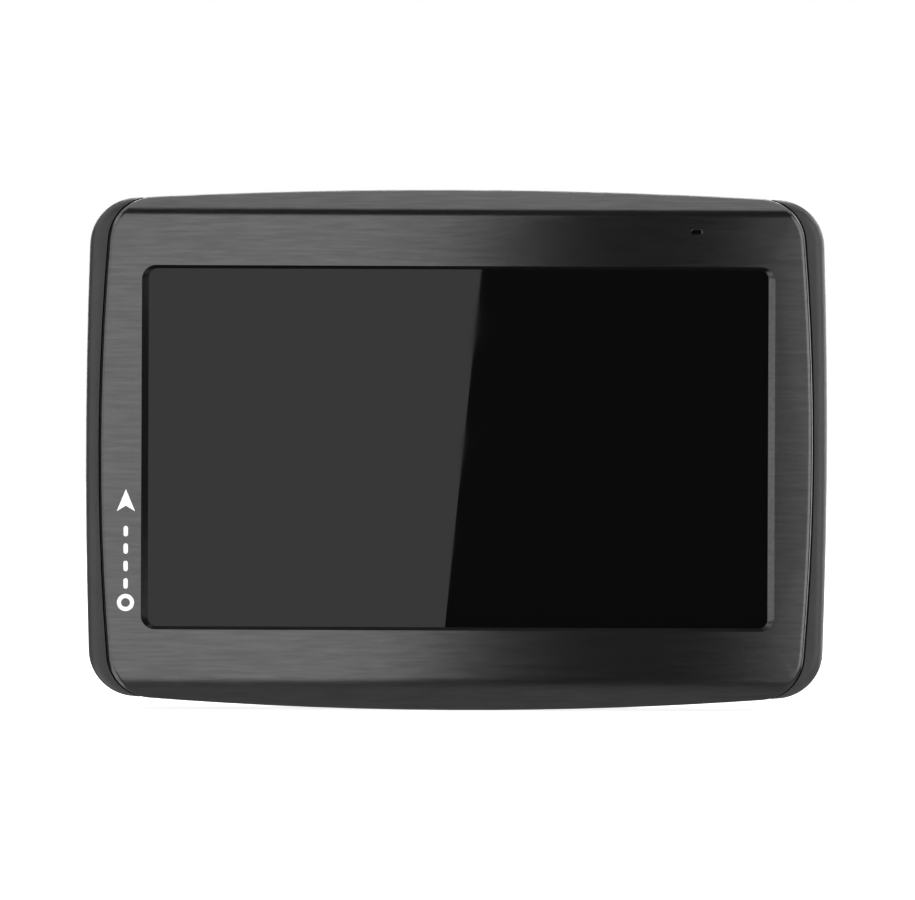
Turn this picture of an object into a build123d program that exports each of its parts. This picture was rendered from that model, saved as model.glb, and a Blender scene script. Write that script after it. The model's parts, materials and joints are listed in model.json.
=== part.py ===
"""Portable in-car navigator with a fold-flat suction mount, built as an assembly.

Millimetres. X runs to the viewer's right, Y from the screen to the back, Z up.
The origin is the middle of the bounding box's bottom face. The device stands upright on its
bottom edge, with the screen facing -Y and the mount folded into the pocket in its back.
Depths are given as distances behind the front face, and depth() turns them into Y.
"""
from build123d import *
import os
from math import cos, radians, sin, sqrt

# ---- overall size -------------------------------------------------------------------------
WIDTH = 134.4                 # across the waist
HEIGHT = 94.4
DEPTH = 26.4                  # front face to the suction lip, mount folded
FRONT_Y = -DEPTH / 2
MID_Z = HEIGHT / 2
TOP_ARCH_RADIUS = 1008
BOTTOM_ARCH_RADIUS = 733

# ---- outlines seen from the front ---------------------------------------------------------
BODY_CORNER_HALF = 66.3       # half width where the sides meet the arches, before rounding
BODY_CORNER_RADIUS = 8.6
PLATE_WAIST_HALF = 64.6       # front cover, between the two side cheeks
PLATE_CORNER_HALF = 62.4
PLATE_CORNER_RADIUS = 8.2

# ---- front cover --------------------------------------------------------------------------
CREASE_Z = MID_Z + 43.0       # straight crease above the screen
CREASE_RADIUS = 3.2
ROLL_Z = MID_Z - 43.6         # the face starts to roll back below the screen
BEVEL_DEPTH = 3.3
BEVEL_HEIGHT = 4.5
ROLL_HEIGHT = 3.9
ROLL_RADIUS = 7.0
EDGE_RADIUS = 1.1             # rounding all round the plate's front edge
COVER_BACK = 4.5              # parting line with the rear housing
COVER_WALL = 1.6
COVER_RIM = 2.8
TONGUE_BACK = 6.1
TONGUE_INSET = 1.9
CAVITY_TOP = MID_Z + 42.5
CAVITY_BOTTOM = MID_Z - 41.3

# ---- screen -------------------------------------------------------------------------------
SCREEN_X = 0.3
SCREEN_Z = MID_Z + 0.3
APERTURE = (114.5, 65.9)      # at the front face
APERTURE_RADIUS = 2.6
SIGHT = (112.2, 64.8)         # visible glass
SIGHT_RADIUS = 1.6
SIGHT_DEPTH = 1.0
WINDOW = (118.6, 70.2)
WINDOW_RADIUS = 0.8
WINDOW_FRONT = 1.3
WINDOW_BACK = 2.5
GASKET_HOLE = (113.6, 66.4)
PANEL = (117.6, 70.4)
PANEL_FRONT = 2.7
PANEL_BACK = 3.9
LIGHT_GUIDE = (114.0, 68.0)
LIGHT_GUIDE_BACK = 5.4
LCD_FRAME = (119.0, 73.0)
LCD_FRAME_FRONT = 3.1
LCD_BACK = 5.8
LCD_RADIUS = 0.4

# ---- microphone ---------------------------------------------------------------------------
MIC_X = 43.3
MIC_Z = MID_Z + 39.6
MIC_SLOT = (2.2, 1.0)
MIC_SIZE = (3.4, 2.6)
MIC_FRONT = 1.9
MIC_BACK = 2.6
MIC_BOOT = (4.6, 3.8)

# ---- rear housing -------------------------------------------------------------------------
CHEEK_FRONT = 1.2             # the side cheeks start this far behind the front face
CHEEK_ROUND = 2.0
CHEEK_TIP = 57.0              # the cheeks end this far from the middle, in the corners
HOUSING_BACK = 20.0
HOUSING_WALL = 1.7
BACK_ROUND = 4.5
INNER_ROUND = 3.0
COVER_GAP = 0.18
SEAM = 0.2
FUSE = 0.5                    # how far a rib or boss sinks into the wall it stands on
POCKET_Z = MID_Z - 3.0        # centre of the folded mount
POCKET_RADIUS = 33.0
POCKET_FLOOR = 12.8
POCKET_EDGE = 0.7             # rounding of the pocket's mouth
FLOOR_WALL = 1.4
NOTCH_HALF = 17.0
NOTCH_TOP = MID_Z + 41.6
BACK_INSIDE = HOUSING_BACK - HOUSING_WALL
FLOOR_INSIDE = POCKET_FLOOR - FLOOR_WALL

# ---- boards and chassis -------------------------------------------------------------------
CHASSIS_FRONT = 5.9
CHASSIS_BACK = 6.7
CHASSIS_HALF = (59.8, 40.8)
CHASSIS_WINDOWS = (-40, -13.5, 13.5, 40)
CHASSIS_WINDOW = (18, 40)
BOARD_FRONT = 7.5
BOARD_BACK = 8.7
BOARD_LEFT = -61.0
BOARD_RIGHT = 33.0
BOARD_BOTTOM = MID_Z - 36.5
BOARD_TOP = MID_Z + 37.4
ARM_RIGHT = 47.0              # the board's arm above the battery
ARM_BOTTOM = MID_Z + 26.5
TAB = (-32.0, -4.0)           # the board's tab down to the power inlet
TAB_BOTTOM = 4.4

# Components on the board's back: x, z, width, height, thickness
PROCESSOR = (-8, MID_Z - 4, 14, 14, 1.2)
MEMORY = [(9, MID_Z + 3, 10, 12.5, 1.0), (9, MID_Z - 12, 12, 10, 1.0)]
SHIELD = (-14, MID_Z + 17, 22, 18, 1.6)
SHIELD_SHEET = 0.3
INDUCTORS = [(-30, MID_Z - 14, 5, 5, 2.0), (-30, MID_Z - 22, 5, 5, 2.0)]
CAPACITORS = [(-24, MID_Z - 26 + 3.2 * step, 1.6, 0.8, 0.8) for step in range(5)]
LCD_SOCKET = (12, MID_Z - 31.25, 21, 3.5, 1.0)
TOUCH_SOCKET = (28, MID_Z - 31.2, 7, 3.5, 1.0)
MIC_SOCKET = (MIC_X, MID_Z + 32.9, 3.2, 3.2, 1.0)
BATTERY_SOCKET = (37.2, MID_Z + 28.6, 5.2, 3.2, 2.4)

# ---- flexible circuits --------------------------------------------------------------------
FLEX = 0.15                   # thickness
FLEX_TOP = MID_Z - 33.0       # where the lower circuits plug in
TOUCH_FLEX_X = (25.0, 31.0)
TOUCH_FLEX_LOW = MID_Z - 38.2
TOUCH_FLEX_TOP = MID_Z - 33.8
TOUCH_FLEX_BACK = 9.0
LCD_FLEX_X = (2.0, 22.0)
LCD_FLEX_LOW = MID_Z - 40.3
LCD_FLEX_FRONT = 4.85
LCD_FLEX_BACK = 9.1
MIC_FLEX_TOP = MID_Z + 41.9
MIC_FLEX_LOW = MID_Z + 34.5
MIC_FLEX_HALF = 1.0

# ---- fasteners ----------------------------------------------------------------------------
CASE_SCREWS = [(x, z) for x in (-52.0, 52.0) for z in (MID_Z - 38.9, MID_Z + 39.9)]
BOARD_SCREWS = [
    (-57.0, MID_Z + 33),
    (44.8, MID_Z + 28.6),
    (-57.0, MID_Z - 32),
    (29.0, MID_Z - 22),
]
BRACKET_SCREWS = [(x, z) for x in (-21.5, 21.5) for z in (MID_Z + 31.0, MID_Z + 36.6)]
CASE_SEAT = 13.6              # where the heads of the case screws sit
CASE_BOSS_FRONT = 12.6
CASE_BOSS_RADIUS = 2.9
CASE_HEAD_BORE = 2.3
CASE_SHANK_BORE = 1.15
COVER_POST_RADIUS = 2.3
COVER_POST_BACK = 12.4
COVER_POST_BORE = 0.95
BRACKET_BOSS_RADIUS = 2.3
BRACKET_BORE = 0.85
BOARD_POST_RADIUS = 2.2

# ---- antenna, battery and speaker ---------------------------------------------------------
PATCH_X = (26, 36)
PATCH_DEPTH = (7.4, 17.4)
PATCH_BOTTOM = MID_Z + 40.6
PATCH_TOP = MID_Z + 44.0
PATCH_FACE = 0.1
PATCH_BORDER = 1.5
ANTENNA_BOARD = 0.8
SHELF = 1.2
LEAD_X = 39.0
LEAD_DEPTH = 12.0
LEAD_RADIUS = 0.45
BATTERY_X = (35.2, 61.2)
BATTERY_DEPTH = (7.1, 12.7)
BATTERY_Z = (MID_Z - 30, MID_Z + 24)
SPEAKER_X = -49.6
SPEAKER_Z = MID_Z - 20.0
SPEAKER_RADIUS = 12.0
MAGNET_RADIUS = 6.5
MAGNET = (13.2, 14.8)
BASKET_RADIUS = 11.2
BASKET_INNER = 10.4
FLANGE = (17.0, 17.6)
GASKET_BACK = 18.1
MESH_BACK = 18.3
GRILLE_REACH = 9.6
GRILLE_PITCH = 2.6
GRILLE_SLOT = 1.2

# ---- ports and controls -------------------------------------------------------------------
USB_X = -18.0
USB_SHELL = (7.7, 2.8, 5.6)   # width, thickness, length
USB_MOUTH = 1.0               # height of the shell's mouth above the underside
USB_SHEET = 0.3
USB_CORNER = 0.9
USB_OPENING = (9.0, 3.8)
CARD_Z = MID_Z - 2.0
CARD = (15.0, 0.8, 11.0)
CARD_LEFT = 0.3 - WIDTH / 2
CARD_DEPTH = 9.5
SOCKET_X = (-62.0, -46.5)
SOCKET_BACK = 10.5
SOCKET_HALF = 7.0
BUTTON_X = -50.0
BUTTON_Z = MID_Z + 28.0
BUTTON_RADIUS = 4.5
BUTTON_BACK = 20.3
BUTTON_FRONT = 17.4
BUTTON_FLANGE = 18.2
BUTTON_DISH_RADIUS = 24.0
BUTTON_DISH = 0.25
STEM_RADIUS = 1.5
SWITCH_SIDE = 6.0
PLUNGER_FRONT = 11.5
PLUNGER_RADIUS = 1.6
STEM_FRONT = 12.9

# ---- suction mount ------------------------------------------------------------------------
HINGE_Z = MID_Z + 35.0
HINGE_DEPTH = 16.6
BARREL_RADIUS = 3.4
BARREL_HALF = 11.9
WASHER = 0.3
EAR = 2.0
EAR_RADIUS = 3.2
EAR_INNER = BARREL_HALF + WASHER
EAR_OUTER = EAR_INNER + EAR
BRACKET_SHEET = 1.2
BRACKET_HALF = 24.5
PIN_RADIUS = 1.5
PIN_CLEARANCE = 0.05
PIN_HEAD = (2.5, 1.2)         # radius, length
CLIP_RADIUS = 2.7
CLIP_GROOVE = 1.1
CLIP_THICK = 0.6
LIFT = 2.0                    # how far the lock pulls the cup's stud
TWIST = 60.0                  # degrees of ring turn for that lift
HUB_BORE = 8.6
HUB_RADIUS = 11.0
HUB_FRONT = 14.2
BELL_RADIUS = 27.7
BELL_WALL = 2.4
BELL_PLATE = (19.3, 20.8)
BELL_BACK = 23.2
SKIRT_FRONT = 16.2
WEB_HALF = 10.0
WEB_ROUND = 0.8
WEB_FOOT = POCKET_Z + 32.0
RING_RADIUS = 29.4
RING_BACK = 18.9
COLLAR = (15.8, 14.4)         # outer and inner radius
GRIP_RADIUS = 31.0
GRIP_FRONT = 14.6
RIB_COUNT = 40
RIB_RADIUS = 0.9
LIP_RADIUS = 30.0
LIP_INNER = 24.0
CROSS_PIN_DEPTH = 17.5
CROSS_PIN_RADIUS = 1.0
CROSS_PIN_LENGTH = 27.6
CAP_FRONT = 13.2
CAP_RADIUS = 17.0
CAP_SCREW_CIRCLE = 9.8
CAP_SCREW_SEAT = 13.7
RAMP_RADIUS = 13.0
RAMP_WIDTH = 3.2
RAMP_THICK = 0.5
RAMP_SPARE = 6.0              # degrees of ramp past each end of the twist
NECK_RADIUS = 3.4
PLATE_RADIUS = 9.0
STUD_PLATE = (23.4, 24.4)
CUP_FRONT = 23.0
TAB_HALF = 4.0
TAB_REACH = 3.6


def depth(behind_front):
    """Y of a plane this far behind the front face."""
    return FRONT_Y + behind_front


def slab(sketch, start, end):
    """Extrude a sketch drawn in X and Z between two depths."""
    plane = Plane(origin=(0, depth(end), 0), x_dir=(1, 0, 0), z_dir=(0, -1, 0))
    return extrude(plane * sketch, amount=end - start)


def block(x, behind, z):
    """A box from three (low, high) pairs."""
    centre = Pos(sum(x) / 2, depth(sum(behind) / 2), sum(z) / 2)
    return centre * Box(x[1] - x[0], behind[1] - behind[0], z[1] - z[0])


def around(middle, half):
    """The (low, high) pair this far either side of the middle."""
    return (middle - half, middle + half)


def disc(x, z, radius, start, end):
    """A cylinder along Y."""
    return slab(Pos(x, z) * Circle(radius), start, end)


def ring(x, z, outer, inner, start, end):
    """A tube along Y."""
    return slab(Pos(x, z) * (Circle(outer) - Circle(inner)), start, end)


def mount_ring(outer, inner, start, end):
    """A tube about the suction mount's own axis."""
    return ring(0, POCKET_Z, outer, inner, start, end)


def hinge_rod(radius, start_x, end_x):
    """A cylinder along the mount's hinge axis."""
    centre = Pos((start_x + end_x) / 2, depth(HINGE_DEPTH), HINGE_Z)
    return centre * Rot(0, 90, 0) * Cylinder(radius, end_x - start_x)


def rounded(size, radius, x=SCREEN_X, z=SCREEN_Z):
    """A rounded rectangle in X and Z, centred on the screen unless told otherwise."""
    return Pos(x, z) * RectangleRounded(size[0], size[1], radius)


def arch_drop(radius, x):
    """How far an arch of this radius has fallen at a distance x from its middle."""
    return radius - sqrt(radius**2 - x**2)


def outline(waist_half, corner_half, corner_radius, inset):
    """The gently arched front outline with rounded corners, moved inwards by an inset."""
    right = corner_half - inset
    left = -right
    low, high = inset, HEIGHT - inset
    top = high - arch_drop(TOP_ARCH_RADIUS - inset, right)
    bottom = low + arch_drop(BOTTOM_ARCH_RADIUS - inset, right)
    waist = waist_half - inset
    edges = Curve() + [
        ThreePointArc((left, top), (0, high), (right, top)),
        ThreePointArc((right, top), (waist, MID_Z), (right, bottom)),
        ThreePointArc((right, bottom), (0, low), (left, bottom)),
        ThreePointArc((left, bottom), (-waist, MID_Z), (left, top)),
    ]
    face = make_face(edges)
    return fillet(face.vertices(), corner_radius - inset)


def body_outline(inset=0.0):
    return outline(WIDTH / 2, BODY_CORNER_HALF, BODY_CORNER_RADIUS, inset)


def plate_outline(inset=0.0):
    return outline(PLATE_WAIST_HALF, PLATE_CORNER_HALF, PLATE_CORNER_RADIUS, inset)


def side_profile(points, half_length):
    """Extrude a closed outline given as (depth, z) points along X, about x = 0."""
    line = Polyline([(0, depth(d), z) for d, z in points], close=True)
    return extrude(make_face(line), amount=half_length, dir=(1, 0, 0), both=True)


def long_edge(solid, behind, z):
    """The edge along X that lies nearest to this depth and height."""
    return solid.edges().filter_by(Axis.X).sort_by_distance((0, depth(behind), z))[0]


def wire_run(points, radius, bend):
    """A round wire along (x, depth, z) points."""
    path = FilletPolyline([(x, depth(d), z) for x, d, z in points], radius=bend)
    return sweep(Plane(origin=path @ 0, z_dir=path % 0) * Circle(radius), path=path)


def folded_flex(x, front, back, low, front_top):
    """A flat circuit that leaves a part, folds under the display and comes up behind it."""
    leaving = block(x, (front, front + FLEX), (low, front_top))
    under = block(x, (front, back), (low - FLEX, low))
    rising = block(x, (back - FLEX, back), (low, FLEX_TOP))
    return leaving + under + rising


def pan_screw(x, z, head, shank, seat, towards=-1):
    """A cross-recess screw along Y, from (radius, length) of its head and of its shank."""
    head_end = seat - towards * head[1]
    tip = seat + towards * shank[1]
    body = disc(x, z, head[0], min(seat, head_end), max(seat, head_end))
    body += disc(x, z, shank[0], min(seat, tip), max(seat, tip))
    slot = head[0] * 1.1
    floor = head_end + towards * head[1] / 2
    cross = Rectangle(slot, slot / 4) + Rectangle(slot / 4, slot)
    return body - slab(Pos(x, z) * cross, min(floor, head_end), max(floor, head_end))


# ---- front --------------------------------------------------------------------------------
def front_profile():
    """The cover's side view: upper facet, flat face and rolled lower edge."""
    solid = side_profile(
        [
            (0, CREASE_Z),
            (BEVEL_DEPTH, CREASE_Z + BEVEL_HEIGHT),
            (COVER_BACK, CREASE_Z + BEVEL_HEIGHT),
            (COVER_BACK, ROLL_Z - ROLL_HEIGHT),
            (BEVEL_DEPTH, ROLL_Z - ROLL_HEIGHT),
            (0, ROLL_Z),
        ],
        WIDTH,
    )
    solid = fillet(long_edge(solid, 0, CREASE_Z), CREASE_RADIUS)
    return fillet(long_edge(solid, 0, ROLL_Z), ROLL_RADIUS)


def front_blank():
    """The plate's outer shape, with its front edge rounded all the way round."""
    blank = slab(plate_outline(), 0, COVER_BACK) & front_profile()
    walls = [face for face in blank.faces() if abs(face.normal_at().Y) < 0.01]
    rim = ShapeList()
    for wall in walls:
        for edge in wall.edges():
            runs_back = abs(edge.tangent_at(0.5).Y) > 0.95
            at_parting = edge.center().Y > depth(COVER_BACK) - 0.1
            if not runs_back and not at_parting:
                rim.append(edge)
    return fillet(rim, EDGE_RADIUS)


def screen_opening():
    """Cutter for the sloped edge round the glass and the seat behind it."""
    front = Plane(origin=(0, depth(0), 0), x_dir=(1, 0, 0), z_dir=(0, -1, 0))
    sight = front.offset(-SIGHT_DEPTH)
    slope = loft([front * rounded(APERTURE, APERTURE_RADIUS), sight * rounded(SIGHT, SIGHT_RADIUS)])
    seat = rounded((WINDOW[0] + 0.4, WINDOW[1] + 0.4), 1.0)
    return slope + slab(seat, SIGHT_DEPTH, COVER_WALL)


def front_cover():
    """Brushed plate with an upper facet, a rolled lower edge and the screen opening."""
    tongue = slab(plate_outline(TONGUE_INSET), COVER_BACK, TONGUE_BACK)
    cavity = slab(plate_outline(COVER_RIM), COVER_WALL, TONGUE_BACK)
    cavity &= block((-WIDTH, WIDTH), (COVER_WALL, TONGUE_BACK), (CAVITY_BOTTOM, CAVITY_TOP))
    cover = front_blank() + tongue - cavity
    for x, z in CASE_SCREWS:
        cover += disc(x, z, COVER_POST_RADIUS, COVER_WALL, COVER_POST_BACK)
        cover -= disc(x, z, COVER_POST_BORE, COVER_WALL * 2, COVER_POST_BACK)
    mic = slab(Pos(MIC_X, MIC_Z) * SlotOverall(*MIC_SLOT), 0, COVER_WALL)
    return cover - screen_opening() - mic


def window_gasket():
    frame = rounded(WINDOW, WINDOW_RADIUS) - rounded(GASKET_HOLE, 1.0)
    return slab(frame, SIGHT_DEPTH, WINDOW_FRONT)


def touch_window():
    return slab(rounded(WINDOW, WINDOW_RADIUS), WINDOW_FRONT, WINDOW_BACK)


def touch_flex():
    """Folds from the window's lower edge round the display to the main board."""
    return folded_flex(TOUCH_FLEX_X, WINDOW_BACK, TOUCH_FLEX_BACK, TOUCH_FLEX_LOW, TOUCH_FLEX_TOP)


def lcd_panel():
    return slab(rounded(PANEL, LCD_RADIUS), PANEL_FRONT, PANEL_BACK)


def lcd_light_guide():
    return slab(rounded(LIGHT_GUIDE, LCD_RADIUS), PANEL_BACK, LIGHT_GUIDE_BACK)


def lcd_frame():
    """Pressed tray that carries the panel over its light guide."""
    tray = slab(rounded(LCD_FRAME, 0.8), LCD_FRAME_FRONT, LCD_BACK)
    seat = rounded((PANEL[0] + 0.2, PANEL[1] + 0.2), 0.5)
    tray -= slab(seat, LCD_FRAME_FRONT, PANEL_BACK)
    return tray - lcd_light_guide()


def lcd_flex():
    top = SCREEN_Z - LCD_FRAME[1] / 2
    return folded_flex(LCD_FLEX_X, LCD_FLEX_FRONT, LCD_FLEX_BACK, LCD_FLEX_LOW, top)


def microphone_boot():
    place = Pos(MIC_X, MIC_Z)
    boot = slab(place * RectangleRounded(*MIC_BOOT, 0.6), COVER_WALL, MIC_BACK)
    boot -= slab(place * SlotOverall(*MIC_SLOT), COVER_WALL, MIC_FRONT)
    return boot - slab(place * Rectangle(*MIC_SIZE), MIC_FRONT, MIC_BACK)


def microphone():
    case = slab(Pos(MIC_X, MIC_Z) * Rectangle(*MIC_SIZE), MIC_FRONT, MIC_BACK)
    return case - disc(MIC_X, MIC_Z, 0.3, MIC_FRONT, MIC_FRONT + 0.4)


def microphone_flex():
    """Leaves the microphone's back, passes over the chassis and drops to its socket."""
    x = around(MIC_X, MIC_FLEX_HALF)
    back = TOUCH_FLEX_BACK
    leaving = block(x, (MIC_BACK, MIC_BACK + FLEX), (MIC_Z - 0.8, MIC_FLEX_TOP))
    over = block(x, (MIC_BACK, back), (MIC_FLEX_TOP, MIC_FLEX_TOP + FLEX))
    return leaving + over + block(x, (back - FLEX, back), (MIC_FLEX_LOW, MIC_FLEX_TOP))


# ---- chassis and electronics --------------------------------------------------------------
def mid_frame():
    """Sheet chassis between the display and the board, with four board standoffs."""
    half_x, half_z = CHASSIS_HALF
    sheet = Pos(0, MID_Z) * RectangleRounded(2 * half_x, 2 * half_z, 6)
    for x in CHASSIS_WINDOWS:
        sheet -= Pos(x, MID_Z) * RectangleRounded(*CHASSIS_WINDOW, 3)
    plate = slab(sheet, CHASSIS_FRONT, CHASSIS_BACK)
    thickness = (CHASSIS_FRONT, CHASSIS_BACK)
    plate -= block((0, TOUCH_FLEX_X[1] + 3), thickness, (0, MID_Z - 37.4))
    plate -= block(around(MIC_X, 2 * MIC_FLEX_HALF), thickness, (MID_Z + 39, HEIGHT))
    for x, z in CASE_SCREWS:
        plate -= disc(x, z, COVER_POST_RADIUS + 0.3, *thickness)
    for x, z in BOARD_SCREWS:
        plate += disc(x, z, BOARD_POST_RADIUS, CHASSIS_BACK, BOARD_FRONT)
        plate -= disc(x, z, 0.8, CHASSIS_FRONT, BOARD_FRONT)
    return plate


def main_board():
    """Main board with an arm above the battery and a tab down to the power inlet."""
    thickness = (BOARD_FRONT, BOARD_BACK)
    main = block((BOARD_LEFT, BOARD_RIGHT), thickness, (BOARD_BOTTOM, BOARD_TOP))
    main += block((BOARD_RIGHT, ARM_RIGHT), thickness, (ARM_BOTTOM, BOARD_TOP))
    main += block(TAB, thickness, (TAB_BOTTOM, BOARD_BOTTOM))
    for x, z in BOARD_SCREWS:
        main -= disc(x, z, 0.85, *thickness)
    return main


def on_board(x, z, width, height, thickness):
    """A component standing on the back of the main board."""
    behind = (BOARD_BACK, BOARD_BACK + thickness)
    return block(around(x, width / 2), behind, around(z, height / 2))


def processor():
    return on_board(*PROCESSOR)


def memory_chips():
    return Compound(children=[on_board(*chip) for chip in MEMORY])


def rf_shield():
    """Soldered can over the satellite receiver."""
    x, z, width, height, thickness = SHIELD
    inside = (width - 2 * SHIELD_SHEET, height - 2 * SHIELD_SHEET, thickness - SHIELD_SHEET)
    return on_board(*SHIELD) - on_board(x, z, *inside)


def power_parts():
    """Inductors and capacitors of the charger and converters."""
    return Compound(children=[on_board(*part) for part in INDUCTORS + CAPACITORS])


def flex_connectors():
    """Sockets for the display, touch and microphone circuits."""
    sockets = (LCD_SOCKET, TOUCH_SOCKET, MIC_SOCKET)
    return Compound(children=[on_board(*socket) for socket in sockets])


def board_screws():
    screws = [pan_screw(x, z, (1.5, 1.0), (0.78, 2.6), BOARD_BACK) for x, z in BOARD_SCREWS]
    return Compound(children=screws)


def antenna_bracket():
    shelf_top = PATCH_BOTTOM - ANTENNA_BOARD
    shelf_foot = shelf_top - SHELF
    shelf = block(PATCH_X, (BOARD_BACK, PATCH_DEPTH[1]), (shelf_foot, shelf_top))
    leg = block(PATCH_X, (BOARD_BACK, BOARD_BACK + SHELF), (MID_Z + 31, shelf_foot))
    return shelf + leg


def antenna_board():
    return block(PATCH_X, PATCH_DEPTH, (PATCH_BOTTOM - ANTENNA_BOARD, PATCH_BOTTOM))


def gps_antenna():
    """Ceramic patch that looks up through the top of the case, with its silvered face."""
    patch = block(PATCH_X, PATCH_DEPTH, (PATCH_BOTTOM, PATCH_TOP))
    face_x = (PATCH_X[0] + PATCH_BORDER, PATCH_X[1] - PATCH_BORDER)
    face_depth = (PATCH_DEPTH[0] + PATCH_BORDER, PATCH_DEPTH[1] - PATCH_BORDER)
    return patch + block(face_x, face_depth, (PATCH_TOP, PATCH_TOP + PATCH_FACE))


def antenna_lead():
    """Thin coaxial lead from the antenna board down to the main board."""
    start = PATCH_BOTTOM - ANTENNA_BOARD / 2
    foot = MID_Z + 34
    wire = wire_run(
        [
            (LEAD_X - 2, LEAD_DEPTH, start),
            (LEAD_X, LEAD_DEPTH, start),
            (LEAD_X, LEAD_DEPTH, foot),
            (LEAD_X, BOARD_BACK, foot),
        ],
        LEAD_RADIUS,
        2 * LEAD_RADIUS,
    )
    ferrule = block((PATCH_X[1], LEAD_X - 1.6), around(LEAD_DEPTH, 0.7), around(start, 0.4))
    return wire + ferrule


def battery():
    cell = block(BATTERY_X, BATTERY_DEPTH, BATTERY_Z)
    return fillet(cell.edges().filter_by(Axis.Z), 1.6)


def battery_pad():
    """Two strips of adhesive foam between the cell and the chassis."""
    z = (BATTERY_Z[0] + 3, BATTERY_Z[1] - 3)
    strips = [block((x, x + 7), (CHASSIS_BACK, BATTERY_DEPTH[0]), z) for x in (37, 51.4)]
    return Compound(children=strips)


def battery_connector():
    return on_board(*BATTERY_SOCKET)


def battery_lead():
    """Three short wires from the cell up to its socket."""
    low = BATTERY_Z[1]
    high = BATTERY_SOCKET[1] - BATTERY_SOCKET[3] / 2
    middle = (low + high) / 2
    places = [BATTERY_SOCKET[0] + step for step in (-1.2, 0, 1.2)]
    wires = [Pos(x, depth(10), middle) * Cylinder(0.5, high - low) for x in places]
    return Compound(children=wires)


def speaker_magnet():
    return disc(SPEAKER_X, SPEAKER_Z, MAGNET_RADIUS, *MAGNET)


def speaker_basket():
    """Flanged pan, open towards the grille."""
    pan = disc(SPEAKER_X, SPEAKER_Z, BASKET_RADIUS, MAGNET[1], FLANGE[1] - 0.2)
    pan += disc(SPEAKER_X, SPEAKER_Z, SPEAKER_RADIUS, *FLANGE)
    return pan - disc(SPEAKER_X, SPEAKER_Z, BASKET_INNER, MAGNET[1] + 0.6, FLANGE[1])


def speaker_cone():
    """Shallow dished cone with a raised dust cap."""
    cap = 3.6
    rim = BASKET_INNER - 0.1
    points = [(0, 15.9), (cap, 15.6), (rim, 16.9), (rim, 17.2), (cap, 16.0), (0, 16.9)]
    cone = revolve(Plane.XY * make_face(Polyline(points, close=True)), Axis.Y)
    return Pos(SPEAKER_X, FRONT_Y, SPEAKER_Z) * cone


def speaker_gasket():
    return ring(SPEAKER_X, SPEAKER_Z, SPEAKER_RADIUS, 10.6, FLANGE[1], GASKET_BACK)


def speaker_mesh():
    return disc(SPEAKER_X, SPEAKER_Z, SPEAKER_RADIUS, GASKET_BACK, MESH_BACK)


def speaker_leads():
    """Two wires from the basket over to the main board."""
    level = MAGNET[1]
    start = SPEAKER_Z + 9.2
    turn = SPEAKER_Z + 13.0
    wires = []
    for x in (SPEAKER_X + 6.6, SPEAKER_X + 8.2):
        points = [(x, level, start), (x, level, turn), (x, BOARD_BACK, turn)]
        wires.append(wire_run(points, 0.4, 1.5))
    return Compound(children=wires)


# ---- ports and controls -------------------------------------------------------------------
def usb_form(wall, length, corner):
    """The connector's outer or inner form, with its two rear corners cut off."""
    width, thickness, _ = USB_SHELL
    behind = (BOARD_BACK + wall, BOARD_BACK + thickness - wall)
    form = block(around(USB_X, width / 2 - wall), behind, (USB_MOUTH, USB_MOUTH + length))
    return chamfer(form.edges().filter_by(Axis.Z).sort_by(Axis.Y)[-2:], corner)


def usb_shell():
    """Micro connector shell, open downwards."""
    length = USB_SHELL[2]
    inner = usb_form(USB_SHEET, length - 0.4, USB_CORNER - 0.1)
    return usb_form(0, length, USB_CORNER) - inner


def usb_tongue():
    """The contact blade and the moulding that holds it in the shell."""
    back = USB_MOUTH + USB_SHELL[2] - 0.4
    base_depth = (BOARD_BACK + 0.4, BOARD_BACK + 2.4)
    blade_depth = (BOARD_BACK + 0.9, BOARD_BACK + 1.5)
    base = block(around(USB_X, 2.6), base_depth, (back - 1.0, back))
    return base + block(around(USB_X, 1.8), blade_depth, (USB_MOUTH + 0.8, back - 1.0))


def card_socket():
    """Push-push socket, open on its left side."""
    case = block(SOCKET_X, (BOARD_BACK, SOCKET_BACK), around(CARD_Z, SOCKET_HALF))
    slot = (SOCKET_X[0], CARD_LEFT + CARD[0] + 0.9)
    return case - block(slot, around(CARD_DEPTH, 0.5), around(CARD_Z, CARD[2] / 2 + 0.2))


def memory_card():
    """Small card, nearly flush with the case, with a raised finger lip."""
    behind = around(CARD_DEPTH, CARD[1] / 2)
    card = block((CARD_LEFT, CARD_LEFT + CARD[0]), behind, around(CARD_Z, CARD[2] / 2))
    lip = (behind[1], behind[1] + 0.2)
    return card + block((CARD_LEFT, CARD_LEFT + 0.8), lip, around(CARD_Z, 5))


def power_switch():
    case = on_board(BUTTON_X, BUTTON_Z, SWITCH_SIDE, SWITCH_SIDE, 3.4)
    well_radius = PLUNGER_RADIUS + 0.15
    return case - disc(BUTTON_X, BUTTON_Z, well_radius, PLUNGER_FRONT - 0.5, BOARD_BACK + 3.4)


def switch_plunger():
    return disc(BUTTON_X, BUTTON_Z, PLUNGER_RADIUS, PLUNGER_FRONT, STEM_FRONT)


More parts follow.
